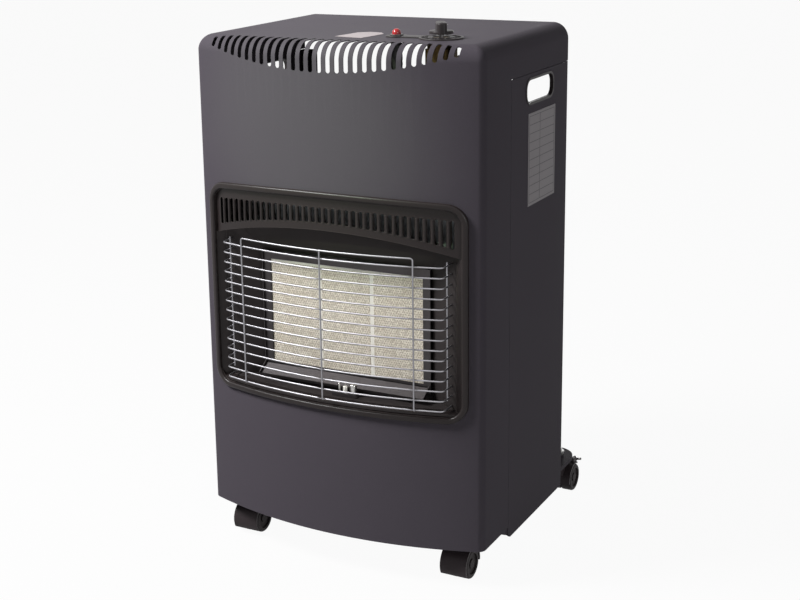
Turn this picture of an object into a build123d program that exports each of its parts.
from build123d import *
import math
import os

# A roll-about cabinet gas heater with three infrared ceramic plaques.
# Millimetres, +Z up. While modelling, y = 0 is the line where the bowed front meets the sides,
# +y is the back, x = 0 is the middle and z = 0 is the floor. At the end every piece is shifted
# along y so that the origin lies on the floor under the middle of the whole heater.

# ------------------------------------------------------------------ cabinet
cabinet_width = 420.0
cabinet_depth = 286.0        # from the front corner line to the rear edge of the sides
cabinet_height = 720.0       # floor to top face
front_bulge = 38.4           # how far the front bows out at its middle
sheet = 1.2                  # painted steel sheet
top_radius = 22.0            # rounded top edges, front and sides
crown_trim = 0.05            # taken off the crown, so the rolled edges end in one flat top
corner_radius = 12.0         # upright front corners
front_hem_z = 55.0           # lower edge of the front and its side returns
side_hem_z = 38.4            # lower edge of the side panels
seam_y = 83.5                # upright seam between side return and side panel
seam_z = cabinet_height - 52.0   # level seam under the top's side skirt
seam_gap = 0.8
sheet_gap = 0.3              # clearance between sheets that lap over each other
rear_hem = 14.0              # the top's folded rear edge
joggle_lap = 12.0            # how far a side panel reaches behind the skirt above it
joggle_front = 26.0          # how far it reaches forward behind the side return
rear_flange = 22.0           # side panel's fold across the back
hem_slope_y = 91.0           # where the side panel's sloped front foot ends

# ------------------------------------------------------------------ top vents
vent_margin = 33.0           # cabinet's side to the outermost vent
vent_pitch = 12.6
vent_count = 2 * int((cabinet_width / 2 - vent_margin) / vent_pitch) + 1
vent_width = 6.4
vent_back_y = 1.0            # rear end of every vent, on the top face
vent_low_z = cabinet_height - 38.0   # lower end of the middle vent, on the front
vent_rise = 21.7             # how much higher the outermost vents end
vent_rise_at = 170.0         # measured at this distance from the middle

# ------------------------------------------------------------------ bezel round the burner
bezel_margin = 18.0          # bezel's side to the cabinet's side
bezel_half_width = cabinet_width / 2 - bezel_margin
bezel_low_z = 233.0
bezel_high_z = 529.5         # at the middle; the top edge is a shallow arch
bezel_arch_drop = 7.5        # how far the arch falls at the bezel's sides
bezel_corner = 28.0
bezel_bead = 8.0             # width of the raised rim
bezel_proud = 5.0            # how far the rim stands off the front
bezel_wall = 2.4
bezel_back_y = -2.0          # plane where the bezel's side and top walls end
bezel_shelf = 12.0           # depth of the wall under the burner opening
window_lap = 5.0             # the rim covers the edge of the sheet's window by this much
seat_gap = 0.2               # rim to painted front
louvre_pitch = 9.8
louvre_width = 5.4
louvre_top_z = 508.5
louvre_top_drop = 6.5
louvre_low_z = 487.5
louvre_low_drop = 22.5
opening_margin = 20.0        # burner opening's side to the bezel's side
opening_half_width = bezel_half_width - opening_margin
louvre_edge_x = opening_half_width   # where the two drops are measured
louvre_count = 2 * int(louvre_edge_x / louvre_pitch + 0.5)
louvre_recess = 1.2          # louvre plate's face behind the sheet's face
lip_below = 9.5              # arched lip under the louvres' lower ends
opening_low_z = 246.0
stud_radius = 1.5
stud_length = 8.0
stud_inset = 2.3             # stud axis inside the bezel's side
clip_radius = 3.2

# ------------------------------------------------------------------ burner
plaque_field_width = 230.8   # three plaques and their two seams
plaque_field_height = 142.3
plaque_thickness = 12.6
plaque_face_y = 19.4
plaque_mid_z = 340.0
plaque_seam = 5.5
plaque_hold = 3.0            # hidden edge behind the frame, above and below
gasket_top = 3.6             # fibre strip seen above the plaques
frame_border = 12.0
frame_rim = 3.0
burner_sheet = 1.0
burner_side_lap = 4.0        # burner box beyond the plaque field
burner_box_depth = 32.0
venturi_radius = 12.0
venturi_wall = 1.0
venturi_axis_z = 234.0
venturi_bend = 26.0
venturi_x = -38.0            # where it turns up into the burner box
injector_x = 118.0
injector_radius = 7.0

# ------------------------------------------------------------------ guard
wire = 2.2
guard_proud = 9.0            # level wires stand this far off the bowed front
guard_front_proud = 11.0     # the upright hoop lies over them
guard_side_proud = -7.0      # outer uprights, set back in the opening
guard_rows = 15
guard_low_z = 252.0
guard_high_z = 443.0
guard_bend_x = opening_half_width - 15.0
guard_end_x = opening_half_width - 8.0
hoop_half_width = 127.5
hoop_high_z = 454.5
guard_side_x = opening_half_width - 10.5
guard_side_top = 447.0

# ------------------------------------------------------------------ pilot
pilot_y = -12.0
electrode_x = 14.0
electrode_radius = 3.0
pilot_burner_x = 26.5
pilot_burner_radius = 3.2
pilot_hood_radius = 4.8
probe_x = 5.0
probe_radius = 1.4
pilot_low_z = 236.0
pilot_high_z = 263.0
hole_clearance = 0.4

# ------------------------------------------------------------------ controls on the top
control_y = 53.0
knob_x = 127.0
button_x = 64.0
escutcheon_thickness = 2.0
escutcheon_big_radius = 28.5
escutcheon_small_radius = 14.0
escutcheon_waist = 9.0       # half width of the bridge between the two rounds
dish_radius = 25.5
dish_inner_radius = 17.0
dish_ribs = 14
dish_rib_width = 2.6
peg_radius = 1.8
neck_radius = 11.0
neck_bore = 8.2
spindle_radius = 3.0
running_gap = 0.05
collar_height = 2.0
plug_low_radius = 7.0
plug_high_radius = 9.0
plug_height = 22.0
valve_width = 34.0
valve_depth = 30.0
valve_height = 44.0
valve_shoulder_radius = 18.0
valve_screw_radius = 14.2    # from the knob's axis
valve_screw_length = 7.0
screw_radius = 1.5
inlet_rise = 6.0             # inlet above the plug's foot
inlet_radius = 8.0
inlet_length = 8.0
inlet_thread_radius = 4.6
nozzle_radius = 4.0
nozzle_bore = 2.2
nozzle_nut = 6.0
nozzle_plain = 14.0
nozzle_grooved = 11.0
press_travel = 4.0
knob_skirt_radius = 15.5
knob_skirt_height = 4.0
knob_bar_length = 32.0
knob_bar_width = 13.0
knob_height = 21.0           # above the cabinet's top face
knob_angle = -60.0           # the bar's heading when the gas is off
button_radius = 5.7
button_gap = 0.08
button_height = 10.5
button_travel = 5.0
piezo_radius = 7.6
piezo_length = 60.0
piezo_collar_radius = 8.8
piezo_collar_height = 1.5
piezo_nut_width = 20.0
piezo_nut_height = 4.0

# ------------------------------------------------------------------ tray, partition, rear cover
tray_sheet = 1.5
tray_top_z = 62.0
tray_inset = 3.0             # tray edge inside the cabinet's outer face
tray_upstand = 20.0
tray_rear_y = 369.0
tray_rear_corner = 32.0
tray_lip = 6.0
tray_screw_ys = [78.0, 160.0, 245.0]
partition_y = 70.0
partition_top_z = cabinet_height - 120.0
partition_flange = 18.0
cover_sheet = 1.0
cover_low_z = 70.0
cover_high_z = partition_top_z - 8.0
cover_margin = 4.0           # cover's edge to the cabinet's side
cover_half_width = cabinet_width / 2 - cover_margin
cover_foot_x = cover_half_width - 16.0   # where the bulge leaves the back of the sides
cover_back_x = cover_foot_x - 42.0
cover_back_y = 372.0
platform_radius = 145.0      # raised round where the gas bottle stands
platform_rise = 1.0
cover_vent_rows = 3
cover_vents_per_row = 9
tongue_height = 9.0
tongue_gap = 0.4
cover_travel = 200.0

# ------------------------------------------------------------------ handles and labels
handle_y = 181.7
handle_z = cabinet_height - 75.8
handle_length = 93.0
handle_height = 29.5
handle_corner = 12.0
handle_rim_wall = 1.2
handle_rim_lip = 3.2
label_y = 190.5
label_z = cabinet_height - 167.0
label_width = 97.0
label_height = 124.0
label_thickness = 0.3
tag_x = 11.5
tag_y = 58.0
tag_width = 42.0
tag_depth = 62.0
tag_turn = -8.0

# ------------------------------------------------------------------ castors
wheel_radius = 20.5
wheel_width = 15.5
wheel_inner_x = 3.6          # inner face of each wheel from the castor's middle
wheel_edge = 3.0
castor_trail = 18.0          # axle to swivel axis
castor_front_x = cabinet_width / 2 - 46.0
castor_front_y = 45.0
castor_rear_x = cabinet_width / 2 - 24.0
castor_rear_y = 343.0
hood_gap = 1.0
hood_wall = 2.4
axle_radius = 3.0
stem_radius = 4.0
boss_radius = 8.5
stem_nut_width = 13.0
stem_nut_height = 6.0
pedal_length = 30.0
pedal_droop = 20.0
pedal_thickness = 3.0
pedal_pin_radius = 1.5
brake_pad_depth = 5.4
pedal_press = 12.0           # degrees the brake pedal is pushed down
pedal_pivot_y = 4.0          # pivot behind the axle
pedal_pivot_z = 28.0         # pivot above the axle

# ------------------------------------------------------------------ gas pipe
main_start = (118.0, 58.0)   # where it leaves the tap, x and y
main_drop_x = 162.0          # its long upright run
main_first_run = 50.0        # straight down from the tap
main_slant = 60.0            # height of the run that leans outwards
main_radius = 4.0

# ------------------------------------------------------------------ pilot pipe and leads
# (upright run's x and y, height of the crossing below the burner)
pilot_pipe_drop = (150.0, 28.0)
pilot_pipe_low_z = 217.0
thermocouple_drop = (170.0, 40.0)
thermocouple_low_z = 199.0
ignition_drop = (160.0, 34.0)
ignition_low_z = 208.0
lead_slant = 42.0            # height of each lead's leaning run

# ------------------------------------------------------------------ worked-out values
half_width = cabinet_width / 2
arc_radius = (half_width ** 2 + front_bulge ** 2) / (2 * front_bulge)
arc_centre_y = arc_radius - front_bulge
inner_x = half_width - sheet
under_top_z = cabinet_height - sheet
joggle_x = inner_x - sheet_gap
plaque_width = (plaque_field_width - 2 * plaque_seam) / 3
field_low_z = plaque_mid_z - plaque_field_height / 2
field_high_z = plaque_mid_z + plaque_field_height / 2
frame_half_width = plaque_field_width / 2 + frame_border
frame_low_z = field_low_z - frame_border
frame_high_z = field_high_z + gasket_top + frame_border
frame_face_y = plaque_face_y - 0.3
box_half_width = plaque_field_width / 2 + burner_side_lap
box_front_y = plaque_face_y + plaque_thickness + 0.2
box_back_y = box_front_y + burner_box_depth
venturi_y = (box_front_y + box_back_y) / 2
surround_front_y = bezel_back_y + 0.7
surround_rear_y = frame_face_y + 2.0
surround_inner_x = frame_half_width + sheet_gap
hood_radius = wheel_radius + hood_gap + hood_wall
castor_top_z = tray_top_z - tray_sheet
platform_y = (partition_y + cover_back_y) / 2
rearmost_y = (castor_rear_y + castor_trail + pedal_pivot_y
              + pedal_length * math.cos(math.radians(pedal_droop))
              + pedal_thickness / 2 * math.sin(math.radians(pedal_droop)))
foremost_y = -front_bulge - guard_front_proud - wire / 2
middle_y = (rearmost_y + foremost_y) / 2


# ------------------------------------------------------------------ helpers
def box(x0, x1, y0, y1, z0, z1):
    """A block between two corners."""
    size = (abs(x1 - x0), abs(y1 - y0), abs(z1 - z0))
    return Pos((x0 + x1) / 2, (y0 + y1) / 2, (z0 + z1) / 2) * Box(*size)


def upright_rod(x, y, z0, z1, radius):
    return Pos(x, y, (z0 + z1) / 2) * Cylinder(radius, z1 - z0)


def upright_ring(x, y, z0, z1, outer, inner):
    return upright_rod(x, y, z0, z1, outer) - upright_rod(x, y, z0 - 1, z1 + 1, inner)


def along_y(x, z, y0, y1, radius):
    return Pos(x, (y0 + y1) / 2, z) * Rot(90, 0, 0) * Cylinder(radius, y1 - y0)


def along_x(y, z, x0, x1, radius):
    return Pos((x0 + x1) / 2, y, z) * Rot(0, 90, 0) * Cylinder(radius, x1 - x0)


def front_y(x, proud=0.0):
    """Where the bowed front lies at x, this far in front of the sheet's face."""
    return arc_centre_y - math.sqrt((arc_radius + proud) ** 2 - x ** 2)


def arch_z(x, middle_z, drop, at):
    """Height of a shallow round arch that falls by `drop` at distance `at` from its middle."""
    radius = (at ** 2 + drop ** 2) / (2 * drop)
    return middle_z - radius + math.sqrt(radius ** 2 - x ** 2)


def side_prism(points, x0, x1):
    """Run a polygon of (y, z) points from x0 to x1."""
    face = make_face(Plane.YZ * Polyline(*points, close=True))
    return Pos(x0, 0, 0) * extrude(face, amount=x1 - x0, dir=(1, 0, 0))


def plan_prism(points, z0, z1):
    """Run a polygon of (x, y) points from z0 to z1."""
    face = make_face(Polyline(*points, close=True))
    return Pos(0, 0, z0) * extrude(face, amount=z1 - z0, dir=(0, 0, 1))


def behind_arc(proud, z0, z1):
    """Everything behind the bowed front, moved forward by `proud`."""
    return Pos(0, arc_centre_y, (z0 + z1) / 2) * Cylinder(arc_radius + proud, z1 - z0)


def front_layer(solid, proud_back, proud_front, z0, z1):
    """The part of a solid that lies between two offsets of the bowed front."""
    return (solid & behind_arc(proud_front, z0, z1)) - behind_arc(proud_back, z0 - 1, z1 + 1)


def cabinet_plan(inset, rear_y):
    """Bowed front and straight sides, closed at rear_y."""
    x = half_width - inset
    y = front_y(x, -inset)
    arc = ThreePointArc((-x, y), (0, -front_bulge + inset), (x, y))
    sides = Polyline((x, y), (x, rear_y), (-x, rear_y), (-x, y))
    return make_face([arc, sides])


def tray_plan(inset, rear_y):
    """The cabinet's plan with its front corners rounded."""
    plan = cabinet_plan(inset, rear_y)
    front = [v for v in plan.vertices() if v.Y < seam_y]
    return fillet(front, corner_radius - inset)


def cabinet_block(inset, z0, rear_y):
    """The cabinet's outer form, or its inner form when inset by the sheet."""
    top = cabinet_height - inset
    crown = top + crown_trim
    block = Pos(0, 0, z0) * extrude(cabinet_plan(inset, rear_y), amount=crown - z0, dir=(0, 0, 1))
    rim = [e for e in block.edges().group_by(Axis.Z)[-1] if e.center().Y < rear_y - 1]
    radius = top_radius - inset
    block = fillet(rim, radius)
    reach = 2 * top_radius
    corners = [e for e in block.edges()
               if abs(e.center().X) > half_width - reach and e.bounding_box().size.X < reach
               and e.bounding_box().max.Y < reach and e.bounding_box().size.Z > radius / 2
               and e.bounding_box().min.Y < 1.0 + inset + front_bulge * 0.1]
    block = fillet(corners, corner_radius - inset)
    return block - box(-half_width, half_width, -reach, rear_y + reach, top, top + reach)


def bezel_outline(inset):
    """Bezel's front outline: level foot, upright sides, shallow arched top, round corners."""
    x = bezel_half_width - inset
    low = bezel_low_z + inset
    side_high = bezel_high_z - bezel_arch_drop - inset
    arc = ThreePointArc((-x, side_high), (0, bezel_high_z - inset), (x, side_high))
    rest = Polyline((x, side_high), (x, low), (-x, low), (-x, side_high))
    return make_face([arc, rest])


def bezel_prism(inset, y0, y1):
    """The bezel's outline run in depth, with its corners rounded."""
    block = Pos(0, y1, 0) * extrude(Plane.XZ * bezel_outline(inset), amount=y1 - y0, dir=(0, -1, 0))
    upright = [e for e in block.edges() if e.bounding_box().size.Y > (y1 - y0) / 2]
    return fillet(upright, max(bezel_corner - inset, 2.0))


def under_arch(middle_z, drop, low_z, y0, y1, half):
    """A block whose top follows an arch given by its drop at the louvres' edge."""
    end_z = arch_z(half, middle_z, drop, louvre_edge_x)
    arc = ThreePointArc((-half, end_z), (0, middle_z), (half, end_z))
    rest = Polyline((half, end_z), (half, low_z), (-half, low_z), (-half, end_z))
    face = Plane.XZ * make_face([arc, rest])
    return Pos(0, y1, 0) * extrude(face, amount=y1 - y0, dir=(0, -1, 0))


def pipe(points, radii, radius):
    """A bent pipe or lead: straight runs joined by tangent arcs."""
    route = FilletPolyline(*points, radius=radii)
    start = Plane(origin=route @ 0, z_dir=route % 0)
    return sweep(start * Circle(radius), path=route)


def coil_spring(x, y, z0, z1, coil_radius, wire_radius, turns):
    """An open coil spring standing on z0."""
    height = z1 - z0 - 2 * wire_radius
    path = Pos(x, y, z0 + wire_radius) * Helix(height / turns, height, coil_radius)
    start = Plane(origin=path @ 0, z_dir=path % 0)
    return sweep(start * Circle(wire_radius), path=path, is_frenet=True)


def group(solids):
    return Compound(children=list(solids))


# ------------------------------------------------------------------ cabinet pieces
def vent_cutters():
    cutters = []
    radius = vent_width / 2
    reach_y = -front_bulge - 10
    for i in range(vent_count):
        x = (i - (vent_count - 1) / 2) * vent_pitch
        low = vent_low_z + vent_rise * (x / vent_rise_at) ** 2 + radius
        back = vent_back_y - radius
        slot = box(x - radius, x + radius, reach_y, back, low, cabinet_height + 5)
        slot += upright_rod(x, back, low, cabinet_height + 5, radius)
        slot += along_y(x, low, reach_y, back, radius)
        cutters.append(slot)
    return cutters


def front_shell():
    outer = cabinet_block(0, front_hem_z, cabinet_depth)
    inner = cabinet_block(sheet, front_hem_z - 10, cabinet_depth + 10)
    shell = outer - inner
    shell -= box(-half_width - 5, half_width + 5, seam_y, cabinet_depth + 5,
                 front_hem_z - 5, seam_z)
    hem_half = half_width - top_radius - 6
    shell += box(-hem_half, hem_half, cabinet_depth - sheet, cabinet_depth,
                 cabinet_height - rear_hem, under_top_z + sheet / 2)
    window = bezel_prism(window_lap, -front_bulge - 20, 10)
    shell -= window
    shell -= vent_cutters()
    for x, z in bezel_stud_places():
        shell -= along_y(x, z, -front_bulge, 20, stud_radius + 0.25)
    shell -= upright_rod(knob_x, control_y, under_top_z - 5, cabinet_height + 5,
                         neck_radius + hole_clearance)
    shell -= upright_rod(button_x, control_y, under_top_z - 5, cabinet_height + 5,
                         piezo_radius + hole_clearance)
    for x, y in valve_screw_places():
        shell -= countersunk(x, y, 0.05)
    for x in peg_places():
        shell -= upright_rod(x, control_y, under_top_z - 5, cabinet_height + 5, peg_radius + 0.1)
    return shell


def slot_prism(length, height, corner, x0, x1):
    """A rounded slot through a side, centred on the handle."""
    face = Plane.YZ * (Pos(handle_y, handle_z) * RectangleRounded(length, height, corner))
    return Pos(x0, 0, 0) * extrude(face, amount=x1 - x0, dir=(1, 0, 0))


def side_panel():
    """Right side panel; the left one is its mirror image."""
    front = seam_y + seam_gap
    top = seam_z - seam_gap
    foot = side_hem_z
    panel = side_prism([(front, foot + 4), (hem_slope_y, foot), (cabinet_depth, foot),
                        (cabinet_depth, top), (front, top)], inner_x, half_width)
    tuck_front = seam_y - joggle_front
    tuck = side_prism([(tuck_front, front_hem_z + 1), (seam_y, foot + 5), (hem_slope_y, foot),
                       (hem_slope_y, partition_top_z), (tuck_front, partition_top_z)],
                      joggle_x - sheet, joggle_x)
    step = box(joggle_x - sheet, inner_x + 0.4, front, hem_slope_y, foot + 8, partition_top_z)
    panel += tuck + step
    lap_high = seam_z + joggle_lap
    panel += box(joggle_x - sheet, joggle_x, front + 10, cabinet_depth - 16,
                 top - 5, lap_high)
    panel += box(joggle_x - sheet, inner_x + 0.4, front + 10, cabinet_depth - 16,
                 top - 5, top)
    flange_x = half_width - rear_flange
    panel += box(flange_x, half_width - sheet / 2, cabinet_depth - sheet, cabinet_depth,
                 foot, top)
    outer_edge = [e for e in panel.edges().filter_by(Axis.Z)
                  if e.center().X > half_width - 0.1 and e.center().Y > cabinet_depth - 0.1]
    panel = fillet(outer_edge, sheet * 0.9)
    rim = handle_rim_wall
    panel -= slot_prism(handle_length + 2 * rim + 0.2, handle_height + 2 * rim + 0.2,
                        handle_corner + rim, inner_x - 10, half_width + 10)
    for z in tongue_places():
        panel -= box(tongue_x - tongue_gap, tongue_x + cover_sheet + tongue_gap,
                     cabinet_depth - 5, cabinet_depth + 5,
                     z - tongue_gap, z + tongue_height + tongue_gap)
    return panel


def handle_rim():
    """Edging clipped round the right hand slot."""
    rim = handle_rim_wall
    lip = slot_prism(handle_length + 2 * handle_rim_lip, handle_height + 2 * handle_rim_lip,
                     handle_corner + handle_rim_lip, half_width, half_width + 1.2)
    sleeve = slot_prism(handle_length + 2 * rim, handle_height + 2 * rim,
                        handle_corner + rim, inner_x - 3, half_width + 0.5)
    ridge = slot_prism(handle_length + 2 * rim + 1.2, handle_height + 2 * rim + 1.2,
                       handle_corner + rim + 0.6, inner_x - 3, inner_x - sheet_gap)
    hole = slot_prism(handle_length, handle_height, handle_corner,
                      inner_x - 10, half_width + 10)
    edging = lip + sleeve + ridge - hole
    face_edges = [e for e in edging.edges() if e.center().X > half_width + 1.19]
    return fillet(face_edges, 0.5)


def base_tray():
    inner_rear = cabinet_depth - 2
    low = castor_top_z
    floor = Pos(0, 0, low) * extrude(tray_plan(tray_inset, inner_rear), amount=tray_sheet,
                                     dir=(0, 0, 1))
    wing = Pos(0, (seam_y + tray_rear_y) / 2, 0) * Rectangle(
        2 * (half_width - tray_inset), tray_rear_y - seam_y)
    wing = fillet(wing.vertices().group_by(Axis.Y)[-1], tray_rear_corner)
    deck = Pos(0, 0, low) * extrude(wing, amount=tray_sheet, dir=(0, 0, 1))
    skirt = Pos(0, 0, tray_top_z - tray_lip) * extrude(wing, amount=tray_lip, dir=(0, 0, 1))
    inside = offset(wing, amount=-tray_sheet)
    skirt -= Pos(0, 0, low - tray_lip) * extrude(inside, amount=2 * tray_lip, dir=(0, 0, 1))
    skirt -= box(-half_width, half_width, 0, cabinet_depth + 2, 0, cabinet_height)
    tray = floor + deck + skirt
    wall = extrude(tray_plan(tray_inset, inner_rear), amount=tray_upstand, dir=(0, 0, 1))
    wall -= Pos(0, 0, -1) * extrude(tray_plan(tray_inset + tray_sheet, cabinet_depth + 20),
                                    amount=tray_upstand + 2, dir=(0, 0, 1))
    tray += Pos(0, 0, tray_top_z - 0.5) * wall
    notch = half_width - rear_flange - sheet_gap
    for s in (-1, 1):
        tray -= box(s * notch, s * (half_width + 1), cabinet_depth - sheet - sheet_gap,
                    cabinet_depth + sheet_gap, low - 5, tray_top_z + tray_upstand + 5)
    for x, y in castor_places():
        tray -= upright_rod(x, y, low - 5, tray_top_z + 5, stem_radius + hole_clearance)
    tray += upright_rod(0, platform_y, low, tray_top_z + platform_rise, platform_radius)
    return tray - upright_rod(0, platform_y, low - 5, low + platform_rise,
                              platform_radius - tray_sheet)


def partition_panel():
    """Heat shield between the burner and the gas bottle, flanged back along both sides."""
    t = burner_sheet
    x = joggle_x - sheet - sheet_gap
    low = tray_top_z + sheet_gap
    shoulder = tray_top_z + tray_upstand + 2
    shield = box(-x, x, partition_y, partition_y + t, low, partition_top_z)
    clear = half_width - tray_inset - tray_sheet - sheet_gap
    for s in (-1, 1):
        shield -= box(s * clear, s * half_width, partition_y - 5, partition_y + 5, low - 5,
                      shoulder)
        shield += box(s * (x - t), s * x, partition_y, partition_y + partition_flange,
                      shoulder, partition_top_z)
    shield += box(-x + 8, x - 8, partition_y - 6, partition_y + t / 2,
                  partition_top_z - t, partition_top_z)
    for i in range(9):
        slot_x = (i - 4) * 36.0
        shield -= box(slot_x - 10, slot_x + 10, partition_y - 5, partition_y + 5,
                      low + 40, low + 46)
    return shield


def rear_cover():
    """Lift-off cover over the gas bottle, bulged to clear it."""
    t = cover_sheet
    y0 = cabinet_depth + sheet_gap
    outside = [(-cover_half_width, y0), (-cover_foot_x, y0), (-cover_back_x, cover_back_y - t),
               (cover_back_x, cover_back_y - t), (cover_foot_x, y0), (cover_half_width, y0)]
    path = Polyline(*[(x, y + t / 2) for x, y in outside])
    strip = make_face(offset(path, amount=t / 2, kind=Kind.INTERSECTION))
    cover = Pos(0, 0, cover_low_z) * extrude(strip, amount=cover_high_z - cover_low_z,
                                             dir=(0, 0, 1))
    roof = plan_prism([(-cover_foot_x + 3, y0 + t), (-cover_back_x + 1.4, cover_back_y - t / 2),
                       (cover_back_x - 1.4, cover_back_y - t / 2), (cover_foot_x - 3, y0 + t)],
                      cover_high_z - t, cover_high_z)
    roof -= plan_prism([(-cover_foot_x + 24, y0 - 1), (-cover_back_x + 16, cover_back_y - 14),
                        (cover_back_x - 16, cover_back_y - 14), (cover_foot_x - 24, y0 - 1)],
                       cover_high_z - 5, cover_high_z + 5)
    cover += roof
    for row in range(cover_vent_rows):
        z = 120.0 + row * 22.0
        for i in range(cover_vents_per_row):
            x = (i - (cover_vents_per_row - 1) / 2) * 27.0
            cover -= box(x - 9, x + 9, cover_back_y - 10, cover_back_y + 5, z, z + 6)
    grip = box(-48, 48, cover_back_y - 10, cover_back_y + 5, cover_high_z - 52,
               cover_high_z - 24)
    cover -= fillet(grip.edges().filter_by(Axis.Y), 12)
    for s in (-1, 1):
        for z in tongue_places():
            cover += box(s * tongue_x, s * (tongue_x + cover_sheet),
                         cabinet_depth - 8, y0 + t / 2, z, z + tongue_height)
    return cover


tongue_x = 198.0


def tongue_places():
    """Lower ends of the cover's hooking tongues."""
    return [120.0, 520.0]


# ------------------------------------------------------------------ bezel and guard
def bezel_stud_places():
    x = bezel_half_width - stud_inset
    return [(s * x, z) for s in (-1, 1) for z in (bezel_low_z + 52, bezel_high_z - 58)]


def bezel_frame():
    front = -front_bulge - 20
    z0 = bezel_low_z - 10
    z1 = bezel_high_z + 10
    rim = bezel_prism(0, front, 10) - bezel_prism(bezel_bead, front - 1, 11)
    rim = front_layer(rim, seat_gap, bezel_proud, z0, z1)
    crest = [e for e in rim.edges()
             if abs(math.hypot(e.center().X, e.center().Y - arc_centre_y)
                    - arc_radius - bezel_proud) < 0.6]
    rim = fillet(crest, 2.6)
    bead = bezel_bead
    neck = bezel_prism(window_lap + 0.8, front, bezel_back_y)
    neck -= bezel_prism(bead + 0.6, front - 1, bezel_back_y + 1)
    shelf = bezel_prism(window_lap + 0.8, front, bezel_back_y)
    shelf -= bezel_prism(window_lap + 0.8 + bezel_wall, front - 1, bezel_back_y + 1)
    wall = front_layer(neck, -bezel_shelf, seat_gap + 1, z0, z1)
    deep = shelf & behind_arc(-bezel_shelf + 1, z0, z1)
    deep -= box(-half_width, half_width, front, 0, z0, opening_low_z + 6)
    frame = rim + wall + deep
    # louvre plate above the arched lip
    lip_mid = louvre_low_z - lip_below
    field = bezel_prism(bead - 0.5, front, 10)
    opening = under_arch(lip_mid, louvre_low_drop, z0 - 5, front - 5, 20, half_width)
    plate = front_layer(field - opening, -louvre_recess - bezel_wall, -louvre_recess, z0, z1)
    louvres = []
    radius = louvre_width / 2
    for i in range(louvre_count):
        x = (i - (louvre_count - 1) / 2) * louvre_pitch
        low = arch_z(x, louvre_low_z, louvre_low_drop, louvre_edge_x) + radius
        high = arch_z(x, louvre_top_z, louvre_top_drop, louvre_edge_x) - radius
        slot = box(x - radius, x + radius, front, 10, low, high)
        slot += along_y(x, low, front, 10, radius) + along_y(x, high, front, 10, radius)
        louvres.append(slot)
    plate -= louvres
    # deep lip that roofs the burner opening
    band = under_arch(lip_mid + bezel_wall, louvre_low_drop, z0, front, bezel_back_y, half_width)
    band -= under_arch(lip_mid, louvre_low_drop, z0 - 1, front - 1, bezel_back_y + 1,
                       half_width + 1)
    lip = (band & bezel_prism(window_lap + 1.5, front, bezel_back_y)) & behind_arc(
        -louvre_recess, z0, z1)
    frame += plate + lip
    # rounded cheeks between the rim and the opening, left and right
    out_x = bezel_half_width - bead
    in_x = opening_half_width
    face_y = front_y(out_x)
    cheek_low = opening_low_z - 3
    for s in (-1, 1):
        points = [(s * out_x, face_y - 0.5), (s * (in_x + 4), face_y + 4.0),
                  (s * in_x, bezel_back_y), (s * (in_x + 2), bezel_back_y),
                  (s * (out_x + 2), face_y + 6)]
        cheek = plan_prism(points, cheek_low, louvre_low_z)
        frame += cheek & opening & bezel_prism(bead - 1, front, 10)
    sill = box(-opening_half_width - 6, opening_half_width + 6, front, 10,
               opening_low_z - 3, opening_low_z)
    frame += front_layer(sill, -bezel_shelf, 0.5, z0, z1) & bezel_prism(bead - 1, front, 10)
    for x, z in bezel_stud_places():
        y = front_y(x)
        frame += along_y(x, z, y - 1.0, y + stud_length, stud_radius)
    return frame


def bezel_clips():
    """Push-on nuts behind the sheet, one on each stud."""
    clips = []
    for x, z in bezel_stud_places():
        y = front_y(abs(x) + clip_radius, -sheet) + 0.05
        ring = along_y(x, z, y, y + 1.2, clip_radius)
        clips.append(ring - along_y(x, z, y - 1, y + 3, stud_radius + 0.02))
    return group(clips)


def guard_row(z):
    """One level wire: follows the bow and turns back at both ends."""
    end_y = surround_y(guard_end_x + wire / 2) - seat_gap
    side_y = front_y(guard_bend_x, guard_proud)
    arc = ThreePointArc((-guard_bend_x, side_y), (0, front_y(0, guard_proud)),
                        (guard_bend_x, side_y))
    tip_y = side_y + (guard_end_x - guard_bend_x) + 1.5
    right = Spline((guard_bend_x, side_y), (guard_end_x, tip_y), tangents=(arc % 1, (0, 1)))
    left = mirror(right, about=Plane.YZ)
    ends = Line((guard_end_x, tip_y), (guard_end_x, end_y))
    path = Wire([mirror(ends, about=Plane.YZ).edge(), left.edge(), arc.edge(), right.edge(),
                 ends.edge()])
    start = Plane(origin=path @ 0, z_dir=path % 0)
    return Pos(0, 0, z) * sweep(start * Circle(wire / 2), path=path)


def wire_guard():
    pitch = (guard_high_z - guard_low_z) / (guard_rows - 1)
    rows = [guard_row(guard_low_z + i * pitch) for i in range(guard_rows)]
    low = guard_low_z
    r = 4.0
    y = front_y(hoop_half_width, guard_front_proud)
    shoulder_y = front_y(hoop_half_width - r, guard_front_proud)
    shoulder = (hoop_half_width - r, shoulder_y, hoop_high_z)
    shoulder_left = (-hoop_half_width + r, shoulder_y, hoop_high_z)
    crown = ThreePointArc(shoulder_left, (0, front_y(0, guard_front_proud), hoop_high_z),
                          shoulder)
    knee = Spline(shoulder, (hoop_half_width, y, hoop_high_z - r),
                  tangents=(crown % 1, (0, 0, -1)))
    leg = Line((hoop_half_width, y, hoop_high_z - r), (hoop_half_width, y, low))
    path = Wire([mirror(leg, about=Plane.YZ).edge(), mirror(knee, about=Plane.YZ).edge(),
                 crown.edge(), knee.edge(), leg.edge()])
    start = Plane(origin=path @ 0, z_dir=path % 0)
    hoop = sweep(start * Circle(wire / 2), path=path)
    middle = upright_rod(0, front_y(0, guard_front_proud), low, hoop_high_z, wire / 2)
    side_y = front_y(guard_side_x, guard_side_proud)
    outer = [upright_rod(s * (guard_side_x + 1.0), side_y, low + 10, guard_side_top, wire / 2)
             for s in (-1, 1)]
    guard = rows[0]
    return guard.fuse(*rows[1:], hoop, middle, *outer)


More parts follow.
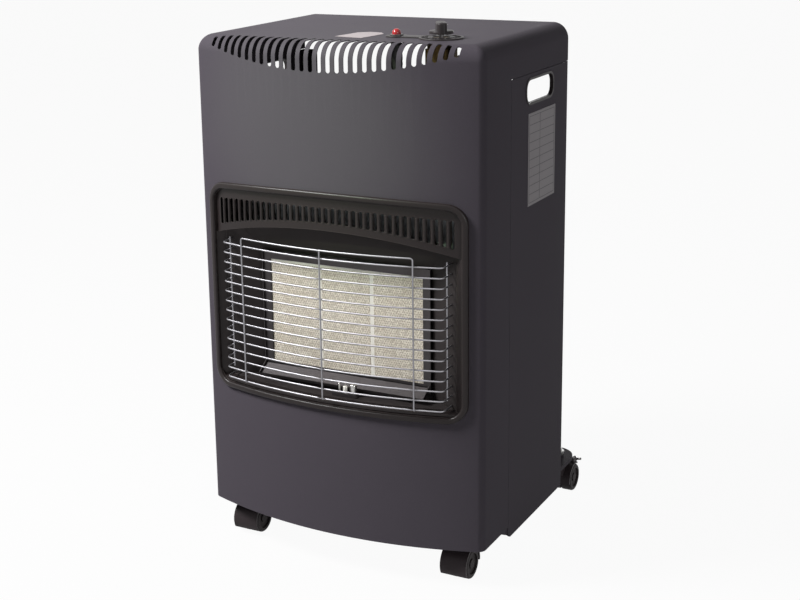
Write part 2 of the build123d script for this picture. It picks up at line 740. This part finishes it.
# ------------------------------------------------------------------ burner
def surround_y(x):
    """Depth of the slanted side boards' front face at x."""
    share = (opening_half_width - abs(x)) / (opening_half_width - surround_inner_x)
    return surround_front_y + share * (surround_rear_y - surround_front_y)


def burner_surround():
    """Dark funnel of four boards between the bezel's opening and the burner's frame."""
    t = burner_sheet
    rear = surround_rear_y
    low = opening_low_z + sheet_gap
    high = 500.0
    boards = []
    for s in (-1, 1):
        x_out = opening_half_width
        x_in = surround_inner_x
        points = [(s * x_out, surround_front_y), (s * x_in, rear),
                  (s * x_in, rear + t), (s * (x_out + 2), surround_front_y + t)]
        boards.append(plan_prism(points, low, high))
    top = frame_high_z + sheet_gap
    lip_mid = louvre_low_z - lip_below
    front_z = lip_mid + 2
    boards.append(side_prism([(bezel_back_y + 0.4, front_z), (rear, top), (rear + t, top),
                              (rear + t, top + 1.5), (bezel_back_y + 0.4, front_z + 3)],
                             -opening_half_width, opening_half_width))
    apron = box(-opening_half_width, opening_half_width, -front_bulge, rear + t, low, low + t)
    apron &= behind_arc(-bezel_shelf - 0.3, low - 1, low + 5)
    boards.append(apron)
    boards.append(box(-frame_half_width, frame_half_width, rear, rear + t, low,
                      frame_low_z - 0.3))
    surround = boards[0].fuse(*boards[1:])
    surround &= under_arch(lip_mid - 0.3, louvre_low_drop, low - 5, -100, 60,
                           opening_half_width + 2)
    inside = box(-frame_half_width - 0.3, frame_half_width + 0.3, -100, rear + t + 5,
                 low + t, top)
    funnel_clear = side_prism([(bezel_back_y - 60, front_z - 1), (bezel_back_y + 0.4, front_z - 1),
                               (rear, top - 0.5), (rear, low + t), (bezel_back_y - 60, low + t)],
                              -frame_half_width, frame_half_width)
    surround -= (inside & box(-half_width, half_width, -100, rear, 0, frame_low_z - 0.3))
    surround -= funnel_clear
    for x, radius in pilot_holes():
        surround -= upright_rod(x, pilot_y, low - 5, low + 5, radius + hole_clearance)
    return surround


def pilot_holes():
    return [(electrode_x, electrode_radius), (pilot_burner_x, pilot_burner_radius),
            (probe_x, probe_radius)]


def plaque(index):
    """One ceramic plaque; index -1, 0 or 1 from left to right."""
    x = index * (plaque_width + plaque_seam)
    low = field_low_z - plaque_hold
    high = field_high_z - 0.2
    tile = box(x - plaque_width / 2, x + plaque_width / 2, plaque_face_y,
               plaque_face_y + plaque_thickness, low, high)
    return chamfer(tile.edges().filter_by(Axis.Z), 0.4)


def plaque_gasket():
    """Fibre packing: a strip over the plaques and one in each seam."""
    back = plaque_face_y + plaque_thickness
    strip = box(-plaque_field_width / 2, plaque_field_width / 2, plaque_face_y - 0.1, back,
                field_high_z, field_high_z + gasket_top + plaque_hold)
    for s in (-1, 1):
        x = s * (plaque_width + plaque_seam) / 2
        strip += box(x - plaque_seam / 2 + 0.1, x + plaque_seam / 2 - 0.1, plaque_face_y + 0.3,
                     back, field_low_z - plaque_hold, field_high_z + 1)
    return strip


def burner_frame():
    """Pressed frame that holds the plaques to the burner box."""
    t = burner_sheet
    back = frame_face_y
    plate = box(-frame_half_width, frame_half_width, back - t, back, frame_low_z, frame_high_z)
    plate += box(-frame_half_width, frame_half_width, back - t - frame_rim, back, frame_low_z,
                 frame_high_z)
    inner = frame_half_width - t
    plate -= box(-inner, inner, back - t - frame_rim - 1, back - t,
                 frame_low_z + t, frame_high_z - t)
    plate -= box(-plaque_field_width / 2, plaque_field_width / 2, back - 10, back + 10,
                 field_low_z, field_high_z + gasket_top)
    for s in (-1, 1):
        x = s * (box_half_width + 0.3)
        plate += box(x, x + s * t, back - t / 2, box_front_y + 14, plaque_mid_z - 40,
                     plaque_mid_z + 40)
    return plate


def burner_box():
    """Plenum behind the plaques, with a ledge that carries them."""
    t = burner_sheet
    low = field_low_z - plaque_hold - 4
    high = field_high_z + gasket_top + plaque_hold + 4
    shell = box(-box_half_width, box_half_width, box_front_y, box_back_y, low, high)
    shell -= box(-box_half_width + t, box_half_width - t, box_front_y - 1, box_back_y - t,
                 low + t, high - t)
    ledge = box(-box_half_width + t / 2, box_half_width - t / 2, box_front_y, box_front_y + t,
                low + t / 2, high - t / 2)
    ledge -= box(-plaque_field_width / 2 + 6, plaque_field_width / 2 - 6, box_front_y - 5,
                 box_front_y + 5, field_low_z + 4, field_high_z - 4)
    shell += ledge
    rails = box(-box_half_width, box_half_width, plaque_face_y + 1, box_front_y + t, low, high)
    rails -= box(-plaque_field_width / 2 - 0.3, plaque_field_width / 2 + 0.3, 0, 100,
                 field_low_z - plaque_hold - 0.3, field_high_z + gasket_top + plaque_hold + 0.3)
    shell += rails
    shell -= upright_rod(venturi_x, venturi_y, low - 5, low + 5, venturi_radius + 0.1)
    return shell


def burner_brackets():
    """Two hat brackets from the burner box back to the partition."""
    brackets = []
    t = 1.5
    for s in (-1, 1):
        x = s * 80.0
        y0 = box_back_y + 0.1
        y1 = partition_y - 0.1
        z0 = plaque_mid_z - 45
        z1 = plaque_mid_z + 45
        hat = box(x - 22, x + 22, y1 - t, y1, z0, z1)
        hat -= box(x - 10 + t, x + 10 - t, y1 - 5, y1 + 5, z0 - 1, z1 + 1)
        hat += box(x - 10, x + 10, y0, y0 + t, z0, z1)
        for side in (-1, 1):
            hat += box(x + side * 10, x + side * (10 - t), y0, y1, z0, z1)
        brackets.append(hat)
    return group(brackets)


def venturi_tube():
    """Mixing tube: in from the injector, along and up into the burner box."""
    low = field_low_z - plaque_hold - 4
    route = FilletPolyline((injector_x - 4, venturi_y, venturi_axis_z),
                           (venturi_x, venturi_y, venturi_axis_z),
                           (venturi_x, venturi_y, low + 6), radius=venturi_bend)
    start = Plane(origin=route @ 0, z_dir=route % 0)
    ring = Circle(venturi_radius) - Circle(venturi_radius - venturi_wall)
    tube = sweep(start * ring, path=route)
    flange = upright_ring(venturi_x, venturi_y, low - 1.6, low - 0.1, venturi_radius + 6,
                          venturi_radius - 0.5)
    air_band = along_x(venturi_y, venturi_axis_z, injector_x - 16, injector_x - 4,
                       venturi_radius + 2)
    air_band -= along_x(venturi_y, venturi_axis_z, injector_x - 20, injector_x,
                        venturi_radius - 0.5)
    return tube + flange + air_band


def main_injector():
    """Brass injector in a steel bracket plate at the mouth of the mixing tube."""
    body = along_x(venturi_y, venturi_axis_z, injector_x + 2, injector_x + 22, injector_radius)
    body += along_x(venturi_y, venturi_axis_z, injector_x - 10, injector_x + 3,
                    injector_radius - 3)
    return body - along_x(venturi_y, venturi_axis_z, injector_x - 11, injector_x + 12, 1.0)


def injector_bracket():
    t = 1.5
    plate = box(injector_x, injector_x + t, venturi_y - 22, partition_y - 0.1,
                venturi_axis_z - 20, venturi_axis_z + 20)
    plate -= along_x(venturi_y, venturi_axis_z, injector_x - 5, injector_x + 5,
                     injector_radius - 3 + 0.1)
    band = venturi_radius + 2.05
    arm = box(injector_x - 18, injector_x + t / 2, venturi_y - 22, venturi_y - band,
              venturi_axis_z - 8, venturi_axis_z + 8)
    foot = box(injector_x, injector_x + 24, partition_y - 0.1 - t, partition_y - 0.1,
               venturi_axis_z - 20, venturi_axis_z + 20)
    return plate + arm + foot


def reflector_lower():
    """Polished trough under the plaques."""
    t = 0.8
    rear = frame_face_y - burner_sheet - frame_rim - 0.2
    z = field_low_z - 3.5
    front = -4.0
    drop = 12.0
    points = [(rear, z), (rear, z - t), (front, z - drop - t), (front - t, z - drop + 3),
              (front, z - drop + 3), (front + t, z - drop)]
    half = frame_half_width - 1.5
    trough = side_prism(points, -half, half)
    for s in (-1, 1):
        points = [(rear, z), (rear, z - t), (front, z - drop - t), (front, z - drop + 4),
                  (rear, z + 4)]
        trough += side_prism(points, min(s * half, s * (half - t)),
                             max(s * half, s * (half - t)))
    return trough


# ------------------------------------------------------------------ pilot
def pilot_bracket():
    low = opening_low_z + 0.3 + burner_sheet + 0.2
    plate = box(probe_x - 7, pilot_burner_x + 8, pilot_y - 8, pilot_y + 8, low, low + 1.2)
    plate += box(probe_x - 7, pilot_burner_x + 8, pilot_y - 8, pilot_y - 6.8, low, low + 5)
    for x, radius in pilot_holes():
        plate -= upright_rod(x, pilot_y, low - 5, low + 8, radius + 0.05)
    return plate


def pilot_burner():
    tube = upright_rod(pilot_burner_x, pilot_y, pilot_low_z, pilot_high_z - 6,
                       pilot_burner_radius)
    hood = upright_rod(pilot_burner_x, pilot_y, pilot_high_z - 8, pilot_high_z + 2,
                       pilot_hood_radius)
    hood = fillet(hood.edges().group_by(Axis.Z)[-1], 2.5)
    hood -= box(pilot_burner_x - 10, pilot_burner_x + 10, pilot_y + 1, pilot_y + 10,
                pilot_high_z - 4, pilot_high_z - 1)
    return tube + hood


def spark_electrode():
    """Ceramic-sleeved electrode; its wire leans over to the pilot's flame."""
    sleeve = upright_rod(electrode_x, pilot_y, pilot_low_z, pilot_high_z - 3, electrode_radius)
    sleeve = fillet(sleeve.edges().group_by(Axis.Z)[-1], 1.0)
    return sleeve


def electrode_tip():
    z = pilot_high_z - 3
    tip = pipe([(electrode_x, pilot_y, z + 0.05), (electrode_x, pilot_y, z + 4),
                (electrode_x + 6, pilot_y, z + 5.5)], [1.5], 0.6)
    return tip


def thermocouple_probe():
    probe = upright_rod(probe_x, pilot_y, pilot_low_z, pilot_high_z + 1, probe_radius)
    return fillet(probe.edges().group_by(Axis.Z)[-1], 0.8)


# ------------------------------------------------------------------ controls
def peg_places():
    """Snap pegs under the escutcheon's waist."""
    middle = (knob_x + button_x) / 2 - 5
    return [middle - 6, middle + 6]


def escutcheon():
    """Black plate with one large and one small round, dished and ribbed round the knob."""
    t = escutcheon_thickness
    big = Pos(knob_x, control_y) * Circle(escutcheon_big_radius)
    small = Pos(button_x, control_y) * Circle(escutcheon_small_radius)
    bridge = Pos((knob_x + button_x) / 2, control_y) * Rectangle(knob_x - button_x,
                                                                 2 * escutcheon_waist)
    plate = Pos(0, 0, cabinet_height) * extrude(big + small + bridge, amount=t, dir=(0, 0, 1))
    crest = [e for e in plate.edges().group_by(Axis.Z)[-1]]
    plate = fillet(crest, 0.9)
    high = cabinet_height + t
    ring = upright_ring(knob_x, control_y, high - 1.4, high + 1, dish_radius,
                        dish_inner_radius)
    spokes = []
    for i in range(dish_ribs):
        spoke = Pos(dish_radius / 2, 0, 0) * Box(dish_radius, dish_rib_width, 20)
        turn = Rot(0, 0, i * 360.0 / dish_ribs)
        spokes.append(Pos(knob_x, control_y, high) * turn * spoke)
    plate -= ring - spokes
    plate -= upright_rod(knob_x, control_y, cabinet_height - 5, high + 5,
                         neck_radius + hole_clearance)
    plate -= upright_rod(button_x, control_y, cabinet_height - 5, high + 5,
                         piezo_radius + hole_clearance)
    for x in peg_places():
        plate += upright_rod(x, control_y, under_top_z - 2, cabinet_height + t / 2, peg_radius)
    return plate


plug_low_z = under_top_z - 36.0
plug_top_z = plug_low_z + plug_height
spring_top_z = under_top_z - 2.0
button_foot_z = under_top_z - 20.0
piezo_bore_z = button_foot_z - 15.0


def valve_body():
    """Brass gas tap: tapered seat, neck through the top, inlet, two outlets."""
    top = under_top_z - 0.1
    low = top - valve_height
    body = box(knob_x - valve_width / 2, knob_x + valve_width / 2,
               control_y - valve_depth / 2, control_y + valve_depth / 2, low, plug_top_z + 3)
    body = fillet(body.edges().filter_by(Axis.Z), 4)
    body += upright_rod(knob_x, control_y, plug_top_z, top, valve_shoulder_radius)
    body += upright_rod(knob_x, control_y, top - 1, cabinet_height + 1.2, neck_radius)
    gap = running_gap
    seat = Pos(knob_x, control_y, (plug_low_z + plug_top_z) / 2) * Cone(
        plug_low_radius + gap, plug_high_radius + gap, plug_height)
    body -= seat
    body -= upright_rod(knob_x, control_y, plug_top_z, cabinet_height + 5,
                        plug_high_radius + gap)
    for x, y in valve_screw_places():
        body -= countersunk(x, y, 0.02)
    inlet_z = plug_low_z + inlet_rise
    face_y = control_y + valve_depth / 2
    body += along_y(knob_x, inlet_z, face_y - 1, face_y + inlet_length, inlet_radius)
    body -= along_y(knob_x, inlet_z, face_y - 3, face_y + inlet_length + 1,
                    inlet_thread_radius)
    body -= along_y(knob_x, inlet_z, control_y, face_y, nozzle_bore) - seat
    return body


def tap_gland():
    """Screwed ring in the neck that guides the spindle and stops its collar."""
    low = spring_top_z + collar_height + 0.1
    return upright_ring(knob_x, control_y, low, cabinet_height + 1.2,
                        plug_high_radius + 0.02, spindle_radius + running_gap)


def tap_plug():
    plug = Pos(knob_x, control_y, (plug_low_z + plug_top_z) / 2) * Cone(
        plug_low_radius, plug_high_radius, plug_height)
    plug -= upright_rod(knob_x, control_y, plug_low_z - 1, plug_top_z + 1,
                        spindle_radius + running_gap)
    cross = along_y(knob_x, plug_low_z + inlet_rise, control_y - 4, control_y + 12, 2.0)
    return plug - cross


def spindle():
    low = plug_low_z + press_travel + 1
    rod = upright_rod(knob_x, control_y, low, cabinet_height + knob_height - 6,
                      spindle_radius)
    collar = upright_rod(knob_x, control_y, spring_top_z, spring_top_z + collar_height,
                         plug_high_radius - 1.5)
    return rod + collar


def control_knob():
    """Wing-bar knob on a round skirt, its bar at the off mark."""
    low = cabinet_height + escutcheon_thickness + press_travel + 0.4
    high = cabinet_height + knob_height
    skirt = upright_rod(0, 0, low, low + knob_skirt_height, knob_skirt_radius)
    skirt = fillet(skirt.edges().group_by(Axis.Z)[-1], 1.5)
    bar = box(-knob_bar_length / 2, knob_bar_length / 2, -knob_bar_width / 2,
              knob_bar_width / 2, low + 0.5, high)
    bar = fillet(bar.edges().filter_by(Axis.Z), knob_bar_width * 0.4)
    bar = fillet(bar.edges().group_by(Axis.Z)[-1], 2.5)
    knob = skirt + bar
    knob -= upright_rod(0, 0, low - 1, cabinet_height + knob_height - 5.9,
                        spindle_radius + 0.02)
    mark = box(knob_bar_length / 2 - 7, knob_bar_length / 2 - 2.5, -0.6, 0.6, high - 0.4,
               high + 1)
    knob -= mark
    return Pos(knob_x, control_y, 0) * Rot(0, 0, knob_angle) * knob


def piezo_body():
    """Threaded barrel let in from above, its collar resting on the escutcheon."""
    low = under_top_z - piezo_length
    seat = cabinet_height + escutcheon_thickness + 0.05
    body = upright_rod(button_x, control_y, low, seat + 0.5, piezo_radius)
    collar = upright_rod(button_x, control_y, seat, seat + piezo_collar_height,
                         piezo_collar_radius)
    body += fillet(collar.edges().group_by(Axis.Z)[-1], 0.6)
    body -= upright_rod(button_x, control_y, piezo_bore_z, cabinet_height + 10,
                        button_radius + button_gap)
    terminal = upright_rod(button_x, control_y, low - 5, low + 1, 3.2)
    return body + terminal


def piezo_nut():
    top = under_top_z - 0.05
    hexagon = extrude(RegularPolygon(piezo_nut_width / 2, 6, major_radius=False),
                      amount=piezo_nut_height, dir=(0, 0, 1))
    nut = Pos(button_x, control_y, top - piezo_nut_height) * hexagon
    return nut - upright_rod(button_x, control_y, top - 10, top + 1, piezo_radius + 0.03)


def piezo_button():
    low = button_foot_z
    high = cabinet_height + button_height
    stem = upright_rod(button_x, control_y, low, high, button_radius)
    return fillet(stem.edges().group_by(Axis.Z)[-1], button_radius - 0.4)


def piezo_spring():
    return coil_spring(button_x, control_y, piezo_bore_z + 0.1, button_foot_z - 0.1, 4.2, 0.5, 5)


def valve_spring():
    return coil_spring(knob_x, control_y, plug_top_z + 0.3, spring_top_z - 0.3, 5.2, 0.6, 3)


def hose_tail():
    """Nozzle for the gas hose, screwed into the tap's inlet."""
    y0 = control_y + valve_depth / 2 + inlet_length + 0.1
    z = plug_low_z + inlet_rise
    plain = y0 + nozzle_nut + nozzle_plain
    tip = plain + nozzle_grooved
    tail = Pos(knob_x, y0 + nozzle_nut / 2, z) * Rot(90, 0, 0) * extrude(
        RegularPolygon(inlet_radius, 6, major_radius=False), amount=nozzle_nut / 2, both=True)
    tail += along_y(knob_x, z, y0 - inlet_length, y0 + 1, inlet_thread_radius - 0.03)
    end = along_y(knob_x, z, y0 + nozzle_nut - 1, tip, nozzle_radius)
    tail += chamfer(end.edges().group_by(Axis.Y)[-1], 0.8)
    for i in range(3):
        groove = plain + 1.5 + i * 3.0
        ring = along_y(knob_x, z, groove, groove + 1.2, nozzle_radius + 1)
        tail -= ring - along_y(knob_x, z, groove - 1, groove + 3, nozzle_radius - 0.4)
    return tail - along_y(knob_x, z, y0 - inlet_length - 1, tip + 1, nozzle_bore)


def valve_screw_places():
    return [(knob_x, control_y + side * valve_screw_radius) for side in (-1, 1)]


def countersunk(x, y, gap):
    """A screw flush with the top face, or its hole when given a gap."""
    head = Pos(x, y, cabinet_height - sheet / 2) * Cone(screw_radius + gap,
                                                       screw_radius + sheet + gap, sheet)
    return head + upright_rod(x, y, under_top_z - valve_screw_length, under_top_z + 0.1,
                              screw_radius + gap)


def valve_screws():
    return group([countersunk(x, y, 0.0) for x, y in valve_screw_places()])


# ------------------------------------------------------------------ gas pipes and leads
def under_valve():
    """Level just below the tap's flat foot, where the pipes start."""
    return under_top_z - 0.1 - valve_height - 0.1


def main_pipe():
    """Gas pipe from the tap to the injector."""
    z0 = under_valve()
    x = main_drop_x
    y = venturi_y
    knee = z0 - main_first_run
    return pipe([(main_start[0], main_start[1], z0), (main_start[0], main_start[1], knee),
                 (x, y, knee - main_slant), (x, y, venturi_axis_z),
                 (injector_x + 22.1, y, venturi_axis_z)], [16, 16, 12], main_radius)


def crossing(start, first_run, drop, low_z, x, radii, radius):
    """A lead that drops at the burner's right side, crosses below it and rises to the pilot."""
    sx, sy, sz = start
    dx, dy = drop
    return pipe([start, (sx, sy, sz - first_run), (dx, dy, sz - first_run - lead_slant),
                 (dx, dy, low_z), (x, pilot_y, low_z),
                 (x, pilot_y, pilot_low_z - 0.1)], radii, radius)


def pilot_pipe():
    start = (knob_x + 11, control_y - 9, under_valve())
    return crossing(start, 26, pilot_pipe_drop, pilot_pipe_low_z, pilot_burner_x,
                     [14, 14, 14, 12], 2.0)


def thermocouple_lead():
    start = (knob_x + 11, control_y + 7, under_valve())
    return crossing(start, 20, thermocouple_drop, thermocouple_low_z, probe_x,
                     [16, 16, 16, 14], 1.3)


def ignition_lead():
    start = (button_x, control_y, under_top_z - piezo_length - 5.1)
    return crossing(start, 38, ignition_drop, ignition_low_z, electrode_x,
                     [24, 20, 16, 14], 2.0)


# ------------------------------------------------------------------ castors
def castor_places():
    return [(-castor_front_x, castor_front_y), (castor_front_x, castor_front_y),
            (-castor_rear_x, castor_rear_y), (castor_rear_x, castor_rear_y)]


def castor_stems():
    stems = []
    for x, y in castor_places():
        stem = upright_rod(x, y, 38.6, castor_top_z + 11, stem_radius)
        stem += upright_rod(x, y, castor_top_z - 1.4, castor_top_z - 0.05, boss_radius)
        stems.append(stem)
    return group(stems)


def castor_nuts():
    nuts = []
    for x, y in castor_places():
        low = tray_top_z + 0.05
        hexagon = extrude(RegularPolygon(stem_nut_width / 2, 6, major_radius=False),
                          amount=stem_nut_height, dir=(0, 0, 1))
        nut = Pos(x, y, low) * hexagon
        nuts.append(nut - upright_rod(x, y, low - 1, low + 10, stem_radius + 0.03))
    return group(nuts)


def castor_hood(x, y, heading, braked):
    """Hood, centre web and swivel boss. Heading is +1 when the wheels trail to the back."""
    r_in = wheel_radius + hood_gap
    half = wheel_inner_x + wheel_width
    cover = along_x(0, 0, -half, half, hood_radius) - along_x(0, 0, -half - 1, half + 1, r_in)
    reach = 3 * hood_radius
    first = 62.0 if braked else -30.0
    sector = [(0, 0)]
    steps = 12
    for i in range(steps + 1):
        angle = math.radians(first + (188.0 - first) * i / steps)
        sector.append((reach * math.cos(angle), reach * math.sin(angle)))
    cover &= side_prism(sector, -half - 1, half + 1)
    web = along_x(0, 0, -wheel_inner_x + 0.8, wheel_inner_x - 0.8, r_in + 0.3)
    web &= side_prism([(-reach, -wheel_radius * 0.72), (reach, -wheel_radius * 0.72),
                       (reach, reach), (-reach, reach)], -10, 10)
    neck_top = castor_top_z - 1.7 - wheel_radius
    boss = upright_rod(0, -castor_trail, 8, neck_top, boss_radius)
    clear = along_x(0, 0, -half - 1, half + 1, r_in)
    clear -= along_x(0, 0, -wheel_inner_x + 0.8, wheel_inner_x - 0.8, r_in + 1)
    hood = cover + web + (boss - clear)
    hood -= upright_rod(0, -castor_trail, 38.6 - wheel_radius - 0.4, neck_top + 5,
                        stem_radius + running_gap)
    hood -= along_x(0, 0, -10, 10, axle_radius + running_gap)
    if braked:
        for s in (-1, 1):
            hood += box(s * (half - 5), s * (half - 2), pedal_pivot_y - 5, pedal_pivot_y + 5,
                        r_in + 0.5, pedal_pivot_z + 3)
        hood -= along_x(pedal_pivot_y, pedal_pivot_z, -half, half,
                        pedal_pin_radius + running_gap)
    turn = Rot(0, 0, 0 if heading > 0 else 180)
    return Pos(x, y, wheel_radius) * turn * Pos(0, castor_trail, 0) * hood


def castor_wheels(x, y, heading):
    """Two wheels pressed on one axle."""
    outer = wheel_inner_x + wheel_width
    parts = [along_x(0, 0, -outer + 2.0, outer - 2.0, axle_radius)]
    for s in (-1, 1):
        wheel = along_x(0, 0, min(s * wheel_inner_x, s * outer), max(s * wheel_inner_x, s * outer),
                        wheel_radius)
        tread = [e for e in wheel.edges() if abs(e.center().X - s * outer) < 0.1]
        wheel = fillet(tread, wheel_edge)
        dish = along_x(0, 0, min(s * (outer - 2.5), s * (outer + 1)),
                       max(s * (outer - 2.5), s * (outer + 1)), wheel_radius - 6)
        hub = along_x(0, 0, min(s * (outer - 4), s * (outer - 0.8)),
                      max(s * (outer - 4), s * (outer - 0.8)), 6.5)
        wheel = wheel - dish + hub
        wheel -= along_x(0, 0, -outer + 2.0, outer - 2.0, axle_radius + 0.02)
        parts.append(wheel)
    turn = Rot(0, 0, 0 if heading > 0 else 180)
    place = Pos(x, y, wheel_radius) * turn * Pos(0, castor_trail, 0)
    return group([place * part for part in parts])


def brake_pedal(x, y):
    """Toe pedal hinged on the hood's ears."""
    half = wheel_inner_x + wheel_width - 0.2
    t = pedal_thickness
    inner = half - 5.3
    plate = box(-half, half, 9.5, pedal_length, -t / 2, t / 2)
    plate = fillet(plate.edges().filter_by(Axis.Z).group_by(Axis.Y)[-1], 5)
    plate += box(-inner, inner, 0, 12, -t / 2, t / 2)
    plate += along_x(0, 0, -inner, inner, t / 2 + 1.2)
    for s in (-1, 1):
        plate += box(s * (wheel_inner_x + 0.6), s * inner, 16, 21, -brake_pad_depth, 0)
    pin = along_x(0, 0, -half + 1.6, half - 1.6, pedal_pin_radius)
    pedal = Rot(-pedal_droop, 0, 0) * (plate + pin)
    return Pos(x, y + castor_trail + pedal_pivot_y, wheel_radius + pedal_pivot_z) * pedal


# ------------------------------------------------------------------ labels and screws
def rating_label():
    face = box(half_width + 0.05, half_width + 0.05 + label_thickness,
               label_y - label_width / 2, label_y + label_width / 2,
               label_z - label_height / 2, label_z + label_height / 2)
    return face


def top_tag():
    low = cabinet_height + 0.05
    tag = extrude(Rectangle(tag_width, tag_depth), amount=label_thickness, dir=(0, 0, 1))
    rear = tag.edges().filter_by(Axis.Z).group_by(Axis.Y)[-1]
    tag = chamfer(rear, 12.0)
    return Pos(tag_x, tag_y, low) * Rot(0, 0, tag_turn) * tag


def tray_screws():
    """Screws from inside the tray's upstand into the cabinet's sides."""
    screws = []
    z = tray_top_z + tray_upstand / 2
    inner = half_width - tray_inset - tray_sheet
    for s in (-1, 1):
        for y in tray_screw_ys:
            x_tip = inner_x + 0.4
            head = along_x(y, z, min(s * (inner - 2.2), s * (inner - 0.05)),
                           max(s * (inner - 2.2), s * (inner - 0.05)), 3.6)
            shank = along_x(y, z, min(s * (inner - 1), s * x_tip), max(s * (inner - 1), s * x_tip),
                            1.6)
            screws.append(head + shank)
    return screws


# ------------------------------------------------------------------ assembly
def build_nodes():
    right_side = side_panel()
    right_rim = handle_rim()
    screws = tray_screws()
    tray = base_tray()
    shell = front_shell()
    left_side = mirror(right_side, about=Plane.YZ)
    for screw in screws:
        tray -= screw
        shell -= screw
        right_side -= screw
        left_side -= screw
    nodes = {
        "front_shell": shell,
        "side_panel_right": right_side,
        "side_panel_left": left_side,
        "handle_rim_right": right_rim,
        "handle_rim_left": mirror(right_rim, about=Plane.YZ),
        "base_tray": tray,
        "tray_screws": group(screws),
        "partition_panel": partition_panel(),
        "rear_cover": rear_cover(),
        "bezel_frame": bezel_frame(),
        "bezel_clips": bezel_clips(),
        "wire_guard": wire_guard(),
        "burner_surround": burner_surround(),
        "plaque_left": plaque(-1),
        "plaque_centre": plaque(0),
        "plaque_right": plaque(1),
        "plaque_gasket": plaque_gasket(),
        "burner_frame": burner_frame(),
        "burner_box": burner_box(),
        "burner_brackets": burner_brackets(),
        "venturi_tube": venturi_tube(),
        "main_injector": main_injector(),
        "injector_bracket": injector_bracket(),
        "reflector_lower": reflector_lower(),
        "pilot_bracket": pilot_bracket(),
        "pilot_burner": pilot_burner(),
        "spark_electrode": spark_electrode(),
        "electrode_tip": electrode_tip(),
        "thermocouple_probe": thermocouple_probe(),
        "control_escutcheon": escutcheon(),
        "gas_valve_body": valve_body(),
        "valve_screws": valve_screws(),
        "tap_gland": tap_gland(),
        "tap_plug": tap_plug(),
        "valve_spring": valve_spring(),
        "control_spindle": spindle(),
        "control_knob": control_knob(),
        "hose_tail": hose_tail(),
        "piezo_body": piezo_body(),
        "piezo_nut": piezo_nut(),
        "piezo_spring": piezo_spring(),
        "piezo_button": piezo_button(),
        "main_gas_pipe": main_pipe(),
        "pilot_gas_pipe": pilot_pipe(),
        "thermocouple_lead": thermocouple_lead(),
        "ignition_lead": ignition_lead(),
        "rating_label": rating_label(),
        "top_tag": top_tag(),
        "castor_stems": castor_stems(),
        "castor_nuts": castor_nuts(),
    }
    names = ["front_left", "front_right", "rear_left", "rear_right"]
    for name, (x, y) in zip(names, castor_places()):
        heading = 1 if y > cabinet_depth else -1
        nodes["castor_hood_" + name] = castor_hood(x, y, heading, heading > 0)
        nodes["castor_wheels_" + name] = castor_wheels(x, y, heading)
        if heading > 0:
            nodes["brake_pedal_" + name] = brake_pedal(x, y)
    return nodes


os.makedirs("parts", exist_ok=True)
nodes = build_nodes()
for node_name, shape in nodes.items():
    moved = [solid.translate((0, -middle_y, 0), transform=True) for solid in shape.solids()]
    export_step(group(moved), "parts/" + node_name + ".step")
print(len(nodes), "nodes written, origin shifted by", round(middle_y, 3))
